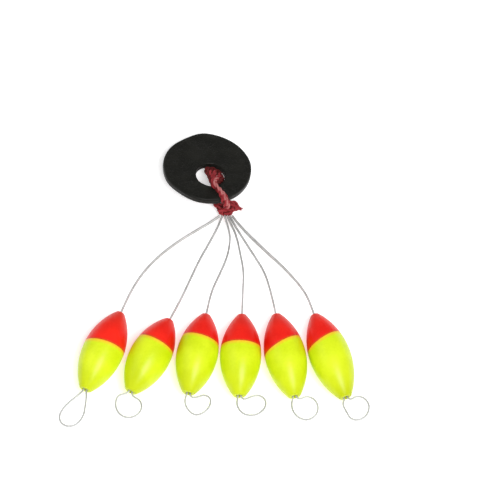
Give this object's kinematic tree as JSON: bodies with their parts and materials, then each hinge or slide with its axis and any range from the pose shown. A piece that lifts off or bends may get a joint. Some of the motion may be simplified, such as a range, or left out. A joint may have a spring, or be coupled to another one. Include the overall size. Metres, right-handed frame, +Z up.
{
  "type": "bobber float",
  "caption": "Set of small two-colour olive fishing floats on wire hairpins, tied with red thread to a black foam disc with a hole.",
  "frame": {"origin": "on the table, under the middle of the set's box without its wires", "axes": "+Z up from the table; +Y from the floats towards the foam disc; +X to the right when the floats are nearest"},
  "size_m": [0.0501, 0.0523, 0.0067],
  "materials": {
    "black_foam": "matte",
    "red_thread": "matte",
    "steel_wire": "satin",
    "clear_silicone": "satin",
    "yellow_lacquer": "gloss",
    "red_lacquer": "gloss"
  },
  "bodies": {
    "disc": {"hang_disc": "black_foam"},
    "thread_loop": {"thread_loop": "red_thread"},
    "knot": {"thread_knot": "red_thread", "thread_tail_right": "red_thread", "thread_tail_left": "red_thread"},
    "wire_1": {"wire_hairpin_1": "steel_wire"},
    "tube_1": {"line_tube_1": "clear_silicone"},
    "float_1": {"float_body_1": "yellow_lacquer", "red_tip_1": "red_lacquer"},
    "wire_2": {"wire_hairpin_2": "steel_wire"},
    "tube_2": {"line_tube_2": "clear_silicone"},
    "float_2": {"float_body_2": "yellow_lacquer", "red_tip_2": "red_lacquer"},
    "wire_3": {"wire_hairpin_3": "steel_wire"},
    "tube_3": {"line_tube_3": "clear_silicone"},
    "float_3": {"float_body_3": "yellow_lacquer", "red_tip_3": "red_lacquer"},
    "wire_4": {"wire_hairpin_4": "steel_wire"},
    "tube_4": {"line_tube_4": "clear_silicone"},
    "float_4": {"float_body_4": "yellow_lacquer", "red_tip_4": "red_lacquer"},
    "wire_5": {"wire_hairpin_5": "steel_wire"},
    "tube_5": {"line_tube_5": "clear_silicone"},
    "float_5": {"float_body_5": "yellow_lacquer", "red_tip_5": "red_lacquer"},
    "wire_6": {"wire_hairpin_6": "steel_wire"},
    "tube_6": {"line_tube_6": "clear_silicone"},
    "float_6": {"float_body_6": "yellow_lacquer", "red_tip_6": "red_lacquer"}
  },
  "joints": [
    {"name": "thread_swivel", "type": "hinge", "parent": "disc", "child": "thread_loop", "pos_m": [-0.00096, 0.01524, 0.00319], "axis": [0.1085, 0.2982, 0.9483], "range_deg": [-10, 10]},
    {"name": "knot_swing", "type": "hinge", "parent": "thread_loop", "child": "knot", "pos_m": [0.00146, 0.0107, 0.00255], "axis": [-0.8389, -0.4843, 0.2483], "range_deg": [0, 35]},
    {"name": "wire_1_swing", "type": "hinge", "parent": "knot", "child": "wire_1", "pos_m": [0.00159, 0.00912, 0.00135], "axis": [-1, 0, 0], "range_deg": [0, 30], "stiffness_Nm_per_rad": 0.01},
    {"name": "tube_1_slide", "type": "slide", "parent": "wire_1", "child": "tube_1", "axis": [0.3907, 0.9205, 0], "range_m": [0, 0.0015]},
    {"name": "float_1_spin", "type": "hinge", "parent": "tube_1", "child": "float_1", "pos_m": [-0.01541, -0.00878, 0.00335], "axis": [-0.3907, -0.9205, 0], "continuous": true},
    {"name": "wire_2_swing", "type": "hinge", "parent": "knot", "child": "wire_2", "pos_m": [0.00159, 0.00912, 0.00135], "axis": [-1, 0, 0], "range_deg": [0, 30], "stiffness_Nm_per_rad": 0.01},
    {"name": "tube_2_slide", "type": "slide", "parent": "wire_2", "child": "tube_2", "axis": [-0.4478, -0.8942, 0], "range_m": [-0.0015, 0]},
    {"name": "float_2_spin", "type": "hinge", "parent": "tube_2", "child": "float_2", "pos_m": [-0.00751, -0.00998, 0.00335], "axis": [-0.4478, -0.8942, 0], "continuous": true},
    {"name": "wire_3_swing", "type": "hinge", "parent": "knot", "child": "wire_3", "pos_m": [0.00159, 0.00912, 0.00135], "axis": [-1, 0, 0], "range_deg": [0, 30], "stiffness_Nm_per_rad": 0.01},
    {"name": "tube_3_slide", "type": "slide", "parent": "wire_3", "child": "tube_3", "axis": [0.2028, 0.9792, 0], "range_m": [0, 0.0015]},
    {"name": "float_3_spin", "type": "hinge", "parent": "tube_3", "child": "float_3", "pos_m": [-0.00161, -0.00908, 0.00335], "axis": [-0.2028, -0.9792, 0], "continuous": true},
    {"name": "wire_4_swing", "type": "hinge", "parent": "knot", "child": "wire_4", "pos_m": [0.00159, 0.00912, 0.00135], "axis": [-1, 0, 0], "range_deg": [0, 30], "stiffness_Nm_per_rad": 0.01},
    {"name": "tube_4_slide", "type": "slide", "parent": "wire_4", "child": "tube_4", "axis": [-0.0314, -0.9995, 0], "range_m": [-0.0015, 0]},
    {"name": "float_4_spin", "type": "hinge", "parent": "tube_4", "child": "float_4", "pos_m": [0.00419, -0.00913, 0.00335], "axis": [-0.0314, -0.9995, 0], "continuous": true},
    {"name": "wire_5_swing", "type": "hinge", "parent": "knot", "child": "wire_5", "pos_m": [0.00159, 0.00912, 0.00135], "axis": [-1, 0, 0], "range_deg": [0, 30], "stiffness_Nm_per_rad": 0.01},
    {"name": "tube_5_slide", "type": "slide", "parent": "wire_5", "child": "tube_5", "axis": [-0.2045, 0.9789, 0], "range_m": [0, 0.0015]},
    {"name": "float_5_spin", "type": "hinge", "parent": "tube_5", "child": "float_5", "pos_m": [0.00969, -0.00908, 0.00335], "axis": [0.2045, -0.9789, 0], "continuous": true},
    {"name": "wire_6_swing", "type": "hinge", "parent": "knot", "child": "wire_6", "pos_m": [0.00159, 0.00912, 0.00135], "axis": [-1, 0, 0], "range_deg": [0, 30], "stiffness_Nm_per_rad": 0.01},
    {"name": "tube_6_slide", "type": "slide", "parent": "wire_6", "child": "tube_6", "axis": [0.3289, -0.9444, 0], "range_m": [-0.0015, 0]},
    {"name": "float_6_spin", "type": "hinge", "parent": "tube_6", "child": "float_6", "pos_m": [0.01589, -0.00913, 0.00335], "axis": [0.3289, -0.9444, 0], "continuous": true}
  ]
}
